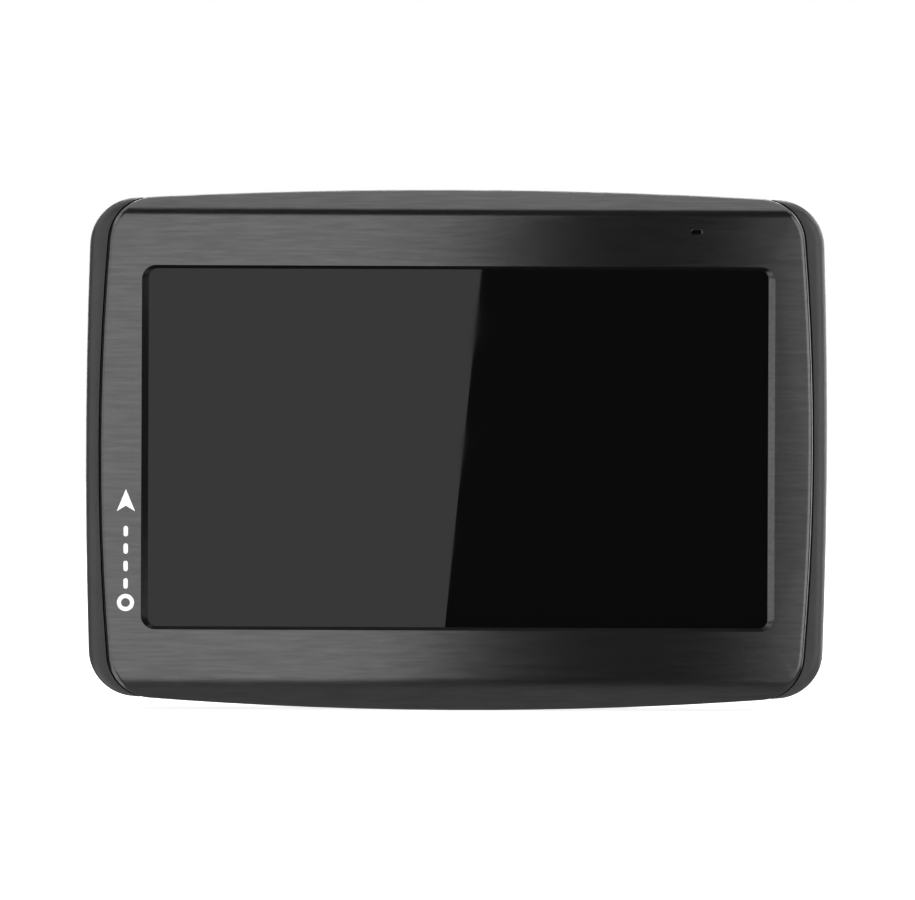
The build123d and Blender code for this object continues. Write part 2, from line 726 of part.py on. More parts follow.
def power_button():
    """Dished round cap with a retaining flange and a stem that reaches the switch."""
    cap = disc(BUTTON_X, BUTTON_Z, BUTTON_RADIUS, BUTTON_FRONT, BUTTON_BACK)
    cap = fillet(cap.faces().sort_by(Axis.Y)[-1].edges(), 0.5)
    dish_y = depth(BUTTON_BACK) + BUTTON_DISH_RADIUS - BUTTON_DISH
    dish = Pos(BUTTON_X, dish_y, BUTTON_Z) * Sphere(BUTTON_DISH_RADIUS)
    flange = disc(BUTTON_X, BUTTON_Z, BUTTON_RADIUS + 0.9, BUTTON_FRONT, BUTTON_FLANGE)
    stem = disc(BUTTON_X, BUTTON_Z, STEM_RADIUS, STEM_FRONT, BUTTON_FRONT)
    return cap - dish + flange + stem


# ---- rear housing -------------------------------------------------------------------------
def grille_slots():
    """Upright rounded slots that fill a circle over the speaker."""
    slots = Sketch()
    for step in range(-3, 4):
        x = step * GRILLE_PITCH
        length = 2 * sqrt(GRILLE_REACH**2 - x**2)
        slots += Pos(SPEAKER_X + x, SPEAKER_Z) * SlotOverall(length, GRILLE_SLOT, rotation=90)
    return slab(slots, BACK_INSIDE - 1, HOUSING_BACK + 1)


def housing_shell():
    """The tray with its rounded back, and the two side cheeks that clasp the front cover."""
    parting = COVER_BACK + SEAM
    tray = slab(body_outline(), parting, HOUSING_BACK)
    tray = fillet(tray.faces().sort_by(Axis.Y)[-1].edges(), BACK_ROUND)
    room = slab(body_outline(HOUSING_WALL), parting - 1, BACK_INSIDE)
    tray -= fillet(room.faces().sort_by(Axis.Y)[-1].edges(), INNER_ROUND)
    cheeks = slab(body_outline(), CHEEK_FRONT, parting)
    cheeks = fillet(cheeks.faces().sort_by(Axis.Y)[0].edges(), CHEEK_ROUND)
    cheeks -= slab(plate_outline(-COVER_GAP), 0, HOUSING_BACK)
    cheeks -= block((-CHEEK_TIP, CHEEK_TIP), (0, HOUSING_BACK), (0, HEIGHT))
    return tray + cheeks


def pocket_form(wall, start, end):
    """The round pocket with its hinge notch, grown by a wall thickness."""
    form = disc(0, POCKET_Z, POCKET_RADIUS + wall, start, end)
    return form + block(around(0, NOTCH_HALF + wall), (start, end), (POCKET_Z, NOTCH_TOP + wall))


def round_pocket_mouth(shell):
    """Round the rim of the pocket and its notch where they meet the back face."""
    reach = NOTCH_HALF + 0.1
    rim = ShapeList()
    for edge in shell.edges().group_by(Axis.Y)[-1]:
        centre = edge.center()
        in_notch = abs(centre.X) < reach and POCKET_Z < centre.Z < NOTCH_TOP + 0.1
        on_circle = edge.geom_type == GeomType.CIRCLE and abs(edge.radius - POCKET_RADIUS) < 0.1
        if in_notch or on_circle:
            rim.append(edge)
    return fillet(rim, POCKET_EDGE)


def cut_back_fixings(shell):
    """Bosses' screw holes: from behind for the case, from inside for the hinge bracket."""
    for x, z in CASE_SCREWS:
        shell -= disc(x, z, CASE_HEAD_BORE, CASE_SEAT, HOUSING_BACK)
        shell -= disc(x, z, CASE_SHANK_BORE, CASE_BOSS_FRONT, CASE_SEAT)
    for x, z in BRACKET_SCREWS:
        shell -= disc(x, z, BRACKET_BORE, FLOOR_INSIDE, FLOOR_INSIDE + 4.6)
    return shell


def rear_housing():
    shell = housing_shell()
    wall_seat = BACK_INSIDE + FUSE
    for x, z in CASE_SCREWS:
        shell += disc(x, z, CASE_BOSS_RADIUS, CASE_BOSS_FRONT, wall_seat)
    for x, z in BRACKET_SCREWS:
        shell += disc(x, z, BRACKET_BOSS_RADIUS, FLOOR_INSIDE, wall_seat)
    shell += pocket_form(FLOOR_WALL, FLOOR_INSIDE, wall_seat)
    shell += ring(SPEAKER_X, SPEAKER_Z, SPEAKER_RADIUS + 1.2, SPEAKER_RADIUS + 0.1, 16.2, wall_seat)
    shell -= pocket_form(0, POCKET_FLOOR, HOUSING_BACK)
    shell = round_pocket_mouth(shell)
    for side in (-1, 1):
        slot = around(side * (EAR_INNER + EAR / 2), EAR / 2 + 0.15)
        shell -= block(slot, (FLOOR_INSIDE, POCKET_FLOOR), around(HINGE_Z, EAR_RADIUS + 0.3))
    shell = cut_back_fixings(shell)
    shell -= grille_slots()
    shell -= disc(BUTTON_X, BUTTON_Z, BUTTON_RADIUS + 0.2, BACK_INSIDE - 1, HOUSING_BACK)
    usb = Pos(USB_X, depth(BOARD_BACK + USB_SHELL[1] / 2), 0) * SlotOverall(*USB_OPENING)
    shell -= extrude(usb, amount=4.0)
    card = (CARD_DEPTH - 0.7, CARD_DEPTH + 0.9)
    return shell - block((-WIDTH / 2 - 1, -60.0), card, around(CARD_Z, CARD[2] / 2 + 0.4))


def housing_screws():
    screws = [pan_screw(x, z, (2.0, 1.4), (0.92, 9.0), CASE_SEAT) for x, z in CASE_SCREWS]
    return Compound(children=screws)


# ---- mount hinge --------------------------------------------------------------------------
def hinge_bracket():
    """Steel base under the pocket floor, with two ears that stand up through it."""
    sheet = (FLOOR_INSIDE - BRACKET_SHEET, FLOOR_INSIDE)
    base = block(around(0, BRACKET_HALF), sheet, (HINGE_Z - 6.7, HINGE_Z + 4.2))
    for side in (-1, 1):
        near, far = sorted((side * EAR_INNER, side * EAR_OUTER))
        rise = (FLOOR_INSIDE - FUSE, HINGE_DEPTH)
        base += block((near, far), rise, around(HINGE_Z, EAR_RADIUS))
        base += hinge_rod(EAR_RADIUS, near, far)
        base -= hinge_rod(PIN_RADIUS, near, far)
    for x, z in BRACKET_SCREWS:
        base -= disc(x, z, 1.0, *sheet)
    return base


def bracket_screws():
    seat = FLOOR_INSIDE - BRACKET_SHEET
    screws = [pan_screw(x, z, (1.7, 0.9), (0.83, 5.0), seat, 1) for x, z in BRACKET_SCREWS]
    return Compound(children=screws)


def clip_groove():
    """The ring-shaped space that the clip takes round the pin's left end."""
    end = -EAR_OUTER - 0.1
    start = end - CLIP_THICK
    return hinge_rod(CLIP_RADIUS, start, end) - hinge_rod(CLIP_GROOVE, start, end)


def hinge_pin():
    head_radius, head_length = PIN_HEAD
    pin = hinge_rod(PIN_RADIUS, -EAR_OUTER - 1.4, EAR_OUTER)
    pin += hinge_rod(head_radius, EAR_OUTER, EAR_OUTER + head_length)
    return pin - clip_groove()


def hinge_clip():
    """Open retaining ring in the pin's groove."""
    mouth_x = (-EAR_OUTER - 0.1 - CLIP_THICK, -EAR_OUTER - 0.1)
    mouth = block(mouth_x, (HINGE_DEPTH, HINGE_DEPTH + 3), around(HINGE_Z, 0.9))
    return clip_groove() - mouth


def friction_washers():
    washers = []
    for start in (-BARREL_HALF - WASHER, BARREL_HALF):
        end = start + WASHER
        washers.append(hinge_rod(EAR_RADIUS, start, end) - hinge_rod(PIN_RADIUS, start, end))
    return Compound(children=washers)


# ---- suction mount ------------------------------------------------------------------------
def arm_web():
    """The neck between the hinge barrel and the bell, with softened long edges."""
    low = HUB_FRONT
    high = BELL_PLATE[1] + 0.4
    bell_edge = POCKET_Z + 24
    web = side_profile(
        [
            (low, HINGE_Z),
            (low, WEB_FOOT),
            (BELL_PLATE[0], WEB_FOOT),
            (BELL_PLATE[0], bell_edge),
            (high, bell_edge),
            (high, HINGE_Z - 2.2),
            (high - 2.0, HINGE_Z + 1.6),
        ],
        WEB_HALF,
    )
    web = fillet(long_edge(web, high, HINGE_Z - 2.2), 1.5)
    sides = ShapeList()
    for edge in web.edges():
        centre = edge.center()
        if abs(abs(centre.X) - WEB_HALF) < 0.01 and centre.Y > depth(BELL_PLATE[0]):
            sides.append(edge)
    return fillet(sides.sort_by(Axis.Y)[-4:], WEB_ROUND)


def mount_arm():
    """Hinge barrel, web, and the bell that carries the lock and presses on the cup."""
    arm = arm_web() + hinge_rod(BARREL_RADIUS, -BARREL_HALF, BARREL_HALF)
    arm += mount_ring(BELL_RADIUS, HUB_BORE, *BELL_PLATE)
    arm += mount_ring(BELL_RADIUS, BELL_RADIUS - BELL_WALL, SKIRT_FRONT, BELL_BACK)
    arm += mount_ring(HUB_RADIUS, HUB_BORE, HUB_FRONT, BELL_PLATE[0] + 0.7)
    arm -= hinge_rod(PIN_RADIUS + PIN_CLEARANCE, -BARREL_HALF, BARREL_HALF)
    slot = around(POCKET_Z, CROSS_PIN_RADIUS + 0.1)
    slot_back = CROSS_PIN_DEPTH + CROSS_PIN_RADIUS + 0.2
    arm -= block(around(0, HUB_RADIUS), (HUB_FRONT, slot_back), slot)
    for x, z in cap_screw_places():
        arm -= disc(x, z, 0.72, HUB_FRONT, HUB_FRONT + 3.8)
    return arm


def cap_screw_places():
    places = []
    for angle in range(45, 360, 90):
        x = CAP_SCREW_CIRCLE * cos(radians(angle))
        places.append((x, POCKET_Z + CAP_SCREW_CIRCLE * sin(radians(angle))))
    return places


def carrier_cap():
    """Closes the hub on the side that faces the device, and keeps the lock ring on."""
    cap = disc(0, POCKET_Z, CAP_RADIUS, CAP_FRONT, HUB_FRONT)
    for x, z in cap_screw_places():
        cap -= disc(x, z, 1.35, CAP_FRONT, CAP_SCREW_SEAT)
        cap -= disc(x, z, 0.75, CAP_SCREW_SEAT, HUB_FRONT)
    return cap


def cap_screws():
    seat = CAP_SCREW_SEAT
    screws = [pan_screw(x, z, (1.25, 0.5), (0.7, 3.8), seat, 1) for x, z in cap_screw_places()]
    return Compound(children=screws)


def ramp(start_angle):
    """Helical ledge inside the lock ring that lifts one end of the cross pin."""
    lead = LIFT * 360 / TWIST
    path = Helix(lead, lead * (TWIST + 2 * RAMP_SPARE) / 360, RAMP_RADIUS)
    start = Plane(origin=path @ 0, z_dir=path % 0, x_dir=(1, 0, 0))
    ledge = sweep(start * Rectangle(RAMP_WIDTH, RAMP_THICK), path=path, is_frenet=True)
    under_pin = CROSS_PIN_DEPTH + CROSS_PIN_RADIUS + 0.05 + RAMP_THICK / 2
    low = under_pin + lead * RAMP_SPARE / 360
    ledge = Rot(0, 0, -start_angle - RAMP_SPARE) * ledge
    return Pos(0, depth(low), POCKET_Z) * Rot(90, 0, 0) * ledge


def lock_ring():
    """Turns on the bell's skirt. Two ramps inside its collar lift the cross pin."""
    outer, inner = COLLAR
    front = HUB_FRONT + 0.2
    body = mount_ring(RING_RADIUS, inner, front, front + 1.0)
    body += mount_ring(RING_RADIUS, BELL_RADIUS + 0.1, front, RING_BACK)
    body += mount_ring(outer, inner, front, RING_BACK + 0.1)
    return body + ramp(0) + ramp(180)


def grip_sleeve():
    """Rubber sleeve with finger ribs."""
    sleeve = Circle(RING_RADIUS + RIB_RADIUS)
    reach = GRIP_RADIUS - RIB_RADIUS
    for step in range(RIB_COUNT):
        angle = radians(360 * step / RIB_COUNT)
        sleeve += Pos(reach * cos(angle), reach * sin(angle)) * Circle(RIB_RADIUS)
    return slab(Pos(0, POCKET_Z) * (sleeve - Circle(RING_RADIUS)), GRIP_FRONT, RING_BACK)


def cup_stud():
    """Post that the lock pulls, with the plate that the rubber is moulded over."""
    stud = disc(0, POCKET_Z, HUB_BORE - 0.1, CROSS_PIN_DEPTH - 1.2, 19.0)
    stud += disc(0, POCKET_Z, NECK_RADIUS, 19.0, STUD_PLATE[0])
    stud += disc(0, POCKET_Z, PLATE_RADIUS, *STUD_PLATE)
    return stud - cross_pin()


def cross_pin():
    centre = Pos(0, depth(CROSS_PIN_DEPTH), POCKET_Z)
    return centre * Rot(0, 90, 0) * Cylinder(CROSS_PIN_RADIUS, CROSS_PIN_LENGTH)


def suction_cup():
    """Rubber cup moulded over the stud's plate, with a flat lip and a pull tab."""
    points = [
        (0, CUP_FRONT),
        (20.0, CUP_FRONT),
        (24.5, BELL_BACK),
        (BELL_RADIUS, BELL_BACK),
        (28.3, DEPTH - 2.0),
        (LIP_RADIUS, DEPTH - 0.6),
        (LIP_RADIUS, DEPTH),
        (LIP_INNER, DEPTH),
        (22.0, DEPTH - 0.6),
        (0, DEPTH - 0.8),
    ]
    profile = make_face(Polyline([(r, depth(d)) for r, d in points], close=True))
    cup = Pos(0, 0, POCKET_Z) * revolve(profile, Axis.Y)
    lip_foot = POCKET_Z - LIP_RADIUS
    tab = block(around(0, TAB_HALF), (DEPTH - 1.0, DEPTH), (lip_foot - TAB_REACH, lip_foot + 2))
    cup += fillet(tab.edges().filter_by(Axis.Y).sort_by(Axis.Z)[:2], 2.4)
    cup -= disc(0, POCKET_Z, NECK_RADIUS, CUP_FRONT, STUD_PLATE[0])
    return cup - disc(0, POCKET_Z, PLATE_RADIUS, *STUD_PLATE)


BUILDERS = [
    front_cover, window_gasket, touch_window, touch_flex, lcd_panel, lcd_light_guide, lcd_frame,
    lcd_flex, microphone_boot, microphone, microphone_flex, mid_frame, main_board, processor,
    memory_chips, rf_shield, power_parts, flex_connectors, board_screws, antenna_bracket,
    antenna_board, gps_antenna, antenna_lead, battery, battery_pad, battery_connector,
    battery_lead, speaker_magnet, speaker_basket, speaker_cone, speaker_gasket, speaker_mesh,
    speaker_leads, usb_shell, usb_tongue, card_socket, memory_card, power_switch,
    switch_plunger, power_button, rear_housing, housing_screws, hinge_bracket, bracket_screws,
    hinge_pin, hinge_clip, friction_washers, mount_arm, carrier_cap, cap_screws, lock_ring,
    grip_sleeve, cup_stud, cross_pin, suction_cup,
]


def main():
    os.makedirs("parts", exist_ok=True)
    for builder in BUILDERS:
        export_step(builder(), f"parts/{builder.__name__}.step")


main()
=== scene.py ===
"""Portable in-car navigator: finishes, detail pieces, studio light and camera."""
import json
from math import atan2, cos, pi, radians, sin

import bmesh
import bpy
from mathutils import Matrix, Vector

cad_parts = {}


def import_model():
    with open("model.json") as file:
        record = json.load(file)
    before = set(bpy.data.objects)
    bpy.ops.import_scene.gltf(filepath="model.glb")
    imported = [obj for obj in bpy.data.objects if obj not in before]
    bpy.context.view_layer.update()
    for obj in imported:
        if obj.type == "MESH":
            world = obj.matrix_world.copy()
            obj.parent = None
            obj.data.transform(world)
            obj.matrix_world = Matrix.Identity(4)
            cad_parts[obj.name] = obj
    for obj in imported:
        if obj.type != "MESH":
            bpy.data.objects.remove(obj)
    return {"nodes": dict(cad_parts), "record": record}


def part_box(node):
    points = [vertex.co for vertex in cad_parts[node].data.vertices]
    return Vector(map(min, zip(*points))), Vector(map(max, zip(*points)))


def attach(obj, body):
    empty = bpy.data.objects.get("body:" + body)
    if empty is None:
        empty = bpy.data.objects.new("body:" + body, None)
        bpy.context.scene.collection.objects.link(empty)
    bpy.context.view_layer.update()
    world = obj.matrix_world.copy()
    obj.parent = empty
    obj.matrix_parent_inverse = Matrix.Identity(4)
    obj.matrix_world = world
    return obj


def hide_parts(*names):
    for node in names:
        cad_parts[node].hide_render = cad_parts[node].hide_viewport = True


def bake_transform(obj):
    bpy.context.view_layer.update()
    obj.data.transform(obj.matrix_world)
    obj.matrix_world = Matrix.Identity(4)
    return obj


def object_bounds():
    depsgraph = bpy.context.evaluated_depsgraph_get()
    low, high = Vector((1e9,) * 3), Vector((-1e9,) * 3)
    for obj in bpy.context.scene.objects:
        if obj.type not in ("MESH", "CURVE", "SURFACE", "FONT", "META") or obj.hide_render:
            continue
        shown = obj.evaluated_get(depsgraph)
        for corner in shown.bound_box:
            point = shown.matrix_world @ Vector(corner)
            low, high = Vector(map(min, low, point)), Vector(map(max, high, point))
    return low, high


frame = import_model()
NODES = frame["nodes"]
CAD_LOW, CAD_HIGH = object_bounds()

MM = 0.001
FRONT_Y = CAD_LOW.y                       # plane of the brushed front
MID_Z = (CAD_LOW.z + CAD_HIGH.z) / 2


def middle(node, axis):
    """The middle of a CAD node's box along one axis."""
    low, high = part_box(node)
    return (low[axis] + high[axis]) / 2


def depth(behind_front):
    """Y of a plane this many millimetres behind the front face."""
    return FRONT_Y + behind_front * MM


MOUNT_Z = middle("cup_stud", 2)


# ---- materials ----------------------------------------------------------------------------
class Look:
    """One procedural material: a Principled shader and short helpers that wire nodes into it."""

    def __init__(self, name, colour, roughness, metallic=0.0, **sockets):
        self.material = bpy.data.materials.new(name)
        self.material.use_nodes = True
        self.tree = self.material.node_tree
        self.shader = self.tree.nodes["Principled BSDF"]
        self.place = self.add("ShaderNodeTexCoord").outputs["Object"]
        self.set("Base Color", (*colour, 1.0))
        self.set("Roughness", roughness)
        self.set("Metallic", metallic)
        for socket, value in sockets.items():
            self.set(socket.replace("_", " "), value)

    def set(self, socket, value):
        """Put a number, colour or another node's output on one of the shader's sockets."""
        if isinstance(value, bpy.types.NodeSocket):
            self.tree.links.new(value, self.shader.inputs[socket])
        else:
            self.shader.inputs[socket].default_value = value

    def add(self, kind, inputs=None, **settings):
        """Add a node. An input is a number, a vector or another node's output."""
        node = self.tree.nodes.new(kind)
        for key, value in settings.items():
            setattr(node, key, value)
        for key, value in (inputs or {}).items():
            if isinstance(value, bpy.types.NodeSocket):
                self.tree.links.new(value, node.inputs[key])
            else:
                node.inputs[key].default_value = value
        return node

    def scaled(self, scale):
        """The object's own coordinates, scaled along each axis."""
        inputs = {"Vector": self.place, "Scale": scale}
        return self.add("ShaderNodeMapping", inputs).outputs["Vector"]

    def noise(self, size, stretch=(1, 1, 1), detail=2.0):
        """Noise whose features are about this size in metres, longer along the stretched axes."""
        place = self.scaled([1 / (size * axis) for axis in stretch])
        inputs = {"Vector": place, "Scale": 1.0, "Detail": detail}
        return self.add("ShaderNodeTexNoise", inputs).outputs["Fac"]

    def cells(self, size):
        """Rounded cells about this many metres across."""
        inputs = {"Vector": self.scaled([1 / size] * 3), "Scale": 1.0}
        return self.add("ShaderNodeTexVoronoi", inputs).outputs["Distance"]

    def waves(self, size, direction, distortion=0.0):
        """Bands across a direction, with a period in proportion to this size."""
        inputs = {"Vector": self.scaled([1 / size] * 3), "Scale": 1.0, "Distortion": distortion}
        return self.add("ShaderNodeTexWave", inputs, bands_direction=direction).outputs["Fac"]

    def spread(self, value, low, high, first=0.3, last=0.7):
        """Stretch part of a value's range, by default the middle, over low to high."""
        inputs = {"Value": value, "From Min": first, "From Max": last}
        inputs |= {"To Min": low, "To Max": high}
        return self.add("ShaderNodeMapRange", inputs).outputs["Result"]

    def mottle(self, value, dark, light):
        """Vary the base colour between two tones."""
        mix = self.add("ShaderNodeMix", data_type="RGBA")
        self.tree.links.new(self.spread(value, 0.0, 1.0), mix.inputs[0])
        mix.inputs[6].default_value = (*dark, 1.0)
        mix.inputs[7].default_value = (*light, 1.0)
        self.set("Base Color", mix.outputs[2])

    def rough(self, value, low, high):
        """Vary the roughness between two values."""
        self.set("Roughness", self.spread(value, low, high))

    def bump(self, height, rise):
        """Raise the surface by up to this rise in metres."""
        inputs = {"Height": height, "Distance": rise, "Strength": 1.0}
        self.set("Normal", self.add("ShaderNodeBump", inputs).outputs["Normal"])


def brushed_front():
    """Gunmetal aluminium with hairlines along X, so highlights stretch upright."""
    look = Look("gunmetal_hairline", (0.122, 0.122, 0.123), 0.15, 1.0, Anisotropic=1.0)
    fine = look.noise(0.16 * MM, (26, 1, 1), 4.0)
    soft = look.noise(0.5 * MM, (12, 1, 1), 3.0)
    look.mottle(soft, (0.109, 0.109, 0.11), (0.137, 0.137, 0.139))
    look.rough(fine, 0.135, 0.17)
    look.bump(fine, 0.0035 * MM)
    tangent = look.add("ShaderNodeTangent", direction_type="RADIAL", axis="X")
    look.set("Tangent", tangent.outputs["Tangent"])
    return look


def shade(colour, factor):
    """A colour made darker or lighter, and never over 1."""
    return [min(1.0, part * factor) for part in colour]


def moulded(name, colour, roughness, grain=0.28 * MM, rise=0.012 * MM):
    """Moulded plastic with a fine spark-eroded texture."""
    look = Look(name, colour, roughness)
    look.mottle(look.noise(9 * MM), shade(colour, 0.9), shade(colour, 1.12))
    texture = look.noise(grain, detail=3.0)
    look.rough(texture, roughness - 0.05, roughness + 0.07)
    look.bump(texture, rise)
    return look


def glass(name, colour):
    """Dark polished glass with the faintest trace of a wiped smear."""
    look = Look(name, colour, 0.01, IOR=1.42)
    look.rough(look.noise(14 * MM), 0.0, 0.02)
    return look


def metal(name, colour, roughness, line=(1, 1, 1), grain=0.2 * MM):
    """Plain metal with fine rolled or turned marks."""
    look = Look(name, colour, roughness, 1.0)
    marks = look.noise(grain, line, 3.0)
    look.rough(marks, roughness - 0.08, roughness + 0.08)
    look.mottle(look.noise(4 * MM), shade(colour, 0.92), shade(colour, 1.06))
    look.bump(marks, 0.003 * MM)
    return look


def rubber(name, colour, roughness=0.62):
    """Soft rubber with a little bloom on it."""
    look = Look(name, colour, roughness, Sheen_Weight=0.15)
    look.mottle(look.noise(5 * MM, detail=4.0), shade(colour, 0.85), shade(colour, 1.25))
    look.rough(look.noise(0.4 * MM), roughness - 0.08, roughness + 0.1)
    look.bump(look.noise(0.35 * MM, detail=3.0), 0.01 * MM)
    return look


def foam():
    """Closed-cell foam, darker in the hollow of each cell: painted shade."""
    look = Look("closed_cell_foam", (0.045, 0.045, 0.045), 0.85)
    cells = look.cells(0.35 * MM)
    # painted shade: the colour is darkest at each cell's centre, where the bump lies lowest
    look.mottle(cells, (0.02, 0.02, 0.02), (0.06, 0.06, 0.06))
    look.bump(cells, 0.05 * MM)
    return look


def circuit_mask(name, base, trace):
    """Solder mask or film over copper traces, seen as slightly lighter raised lines."""
    look = Look(name, base, 0.35, Coat_Weight=0.4, Coat_Roughness=0.15)
    traces = look.waves(1.1 * MM, "DIAGONAL", 6.0)
    look.mottle(traces, base, trace)
    look.bump(traces, 0.02 * MM)
    return look


def woven(name, colour, pitch, sheen=0.3):
    """Plain woven mesh: two crossed sets of threads, with painted shade where the weave lies low.
    """
    look = Look(name, colour, 0.7, Sheen_Weight=sheen)
    across = look.waves(pitch, "X")
    along = look.waves(pitch, "Z")
    crossed = look.add("ShaderNodeMath", {0: across, 1: along}, operation="MULTIPLY")
    weave_and_shade = crossed.outputs["Value"]
    # painted shade: near black where the weave lies low, the cloth's own colour at the raised
    # crossings
    look.mottle(weave_and_shade, (0.004, 0.004, 0.004), colour)
    look.bump(weave_and_shade, 0.08 * MM)
    return look


def acrylic():
    """Clear light guide with fine dots in it."""
    look = Look("clear_acrylic", (0.86, 0.88, 0.9), 0.08, Transmission_Weight=0.9, IOR=1.49)
    dots = look.cells(0.8 * MM)
    look.rough(dots, 0.06, 0.3)
    look.bump(dots, 0.01 * MM)
    return look


def white_print():
    """Screen printed ink, very slightly uneven."""
    look = Look("white_ink", (0.92, 0.92, 0.92), 0.5)
    look.mottle(look.noise(0.4 * MM), (0.9, 0.9, 0.9), (0.95, 0.95, 0.95))
    look.bump(look.noise(0.2 * MM), 0.004 * MM)
    return look


LOOKS = {
    "brushed_front": brushed_front(),
    "housing_plastic": moulded("case_plastic", (0.03, 0.03, 0.031), 0.38, 0.42 * MM, 0.04 * MM),
    "touch_glass": glass("window_glass", (0.001, 0.001, 0.0011)),
    "display_glass": glass("panel_glass", (0.02, 0.022, 0.025)),
    "acrylic": acrylic(),
    "display_steel": metal("pressed_tray", (0.55, 0.56, 0.57), 0.35, (20, 1, 1)),
    "chassis_alloy": metal("stamped_alloy", (0.62, 0.62, 0.63), 0.4, (1, 1, 20)),
    "foam": foam(),
    "flex_circuit": circuit_mask("amber_film", (0.42, 0.2, 0.03), (0.62, 0.34, 0.08)),
    "board_mask": circuit_mask("green_mask", (0.01, 0.085, 0.035), (0.03, 0.16, 0.07)),
    "chip_epoxy": moulded("chip_epoxy", (0.03, 0.03, 0.032), 0.5, 0.12 * MM, 0.006 * MM),
    "shield_tin": metal("tinned_sheet", (0.72, 0.72, 0.7), 0.3, (20, 1, 1)),
    "connector_plastic": moulded("ivory_plastic", (0.74, 0.7, 0.6), 0.45),
    "black_insert": moulded("black_insert", (0.02, 0.02, 0.02), 0.4),
    "screw_steel": metal("black_zinc", (0.12, 0.12, 0.125), 0.34),
    "bright_steel": metal("bright_steel", (0.62, 0.62, 0.63), 0.26),
    "patch_ceramic": moulded("fired_ceramic", (0.7, 0.64, 0.52), 0.55, 0.5 * MM, 0.02 * MM),
    "battery_foil": metal("pouch_foil", (0.5, 0.51, 0.54), 0.38, (1, 1, 6), 0.6 * MM),
    "lead_sheath": rubber("red_sheath", (0.28, 0.015, 0.015), 0.45),
    "speaker_steel": metal("pressed_basket", (0.45, 0.45, 0.46), 0.36),
    "cone_film": moulded("cone_film", (0.06, 0.06, 0.065), 0.3),
    "acoustic_cloth": woven("acoustic_cloth", (0.05, 0.05, 0.052), 0.9 * MM),
    "card_plastic": moulded("card_plastic", (0.03, 0.03, 0.032), 0.4),
    "button_plastic": moulded("button_plastic", (0.03, 0.03, 0.031), 0.28, 0.4 * MM, 0.004 * MM),
    "arm_plastic": moulded("arm_nylon", (0.028, 0.028, 0.03), 0.42, 0.36 * MM, 0.03 * MM),
    "grip_rubber": rubber("grip_rubber", (0.03, 0.03, 0.031)),
    "cup_rubber": rubber("cup_rubber", (0.016, 0.016, 0.017), 0.3),
}
INK = white_print()
# black gauze for the microphone slot, near black and without sheen: its own black, and painted
# shade at the foot of the slot
GAUZE_AND_SHADE = woven("microphone_gauze_and_shade", (0.006, 0.006, 0.006), 0.22 * MM, 0.0)
GILT = metal("gilt_contact", (0.75, 0.55, 0.24), 0.25)


def dress_nodes():
    """Give each CAD node the material of its slot."""
    for subpart in frame["record"]["subparts"]:
        node = NODES[subpart["node"]]
        for material_slot in node.material_slots:
            material_slot.material = LOOKS[subpart["material_slot"]].material


# ---- detail pieces ------------------------------------------------------------------------
SHARP = radians(40)                       # edges above this angle stay sharp
ROUND_OVER = radians(28)                  # edges above this angle are rounded


def add_piece(name, work, look, body, smooth=True):
    """Turn a bmesh into a piece that rides on a body, if one is given, and wears the given look's
    material.
    """
    bmesh.ops.recalc_face_normals(work, faces=work.faces)
    mesh = bpy.data.meshes.new(name)
    work.to_mesh(mesh)
    work.free()
    mesh.materials.append(look.material)
    for polygon in mesh.polygons:
        polygon.use_smooth = smooth
    mesh.set_sharp_from_angle(angle=SHARP)
    thing = bpy.data.objects.new(name, mesh)
    bpy.context.collection.objects.link(thing)
    if body:
        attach(thing, body)
    return thing


def round_corners(thing, radius):
    """Round a piece's sharp edges."""
    bevel = thing.modifiers.new("round", "BEVEL")
    bevel.width = radius
    bevel.segments = 2
    bevel.limit_method = "ANGLE"
    bevel.angle_limit = ROUND_OVER
    bevel.harden_normals = True


def prism(work, points, front, back):
    """Add a closed outline of (x, z) points, extruded between two values of Y."""
    near = [work.verts.new((x, front, z)) for x, z in points]
    far = [work.verts.new((x, back, z)) for x, z in points]
    work.faces.new(near)
    work.faces.new(far[::-1])
    for index in range(len(points)):
        after = (index + 1) % len(points)
        work.faces.new((near[index], far[index], far[after], near[after]))


def arc(x, z, radius, start, end, steps):
    """Points along an arc, in degrees from the right and anticlockwise."""
    turns = [radians(start + (end - start) * step / steps) for step in range(steps + 1)]
    return [(x + radius * cos(turn), z + radius * sin(turn)) for turn in turns]


def slot_outline(x, low, high, half, steps):
    """Outline of an upright slot with round ends."""
    foot = arc(x, low + half, half, 180, 360, steps)
    return foot + arc(x, high - half, half, 0, 180, steps)


def band(work, x, z, inner, outer, start, end, steps, surface, rise):
    """Add part of a flat ring that follows a surface given as Y of radius, raised by this much."""
    near = [(point, surface(inner)) for point in arc(x, z, inner, start, end, steps)]
    far = [(point, surface(outer)) for point in arc(x, z, outer, end, start, steps)]
    low = [work.verts.new((point[0], y, point[1])) for point, y in near + far]
    high = [work.verts.new((point[0], y + rise, point[1])) for point, y in near + far]
    half = steps + 1
    for step in range(steps):
        opposite = 2 * half - 1 - step
        for side in (low, high):
            work.faces.new((side[step], side[step + 1], side[opposite - 1], side[opposite]))
    for index in range(2 * half):
        after = (index + 1) % (2 * half)
        work.faces.new((low[index], low[after], high[after], high[index]))


LATHE_STEPS = 120


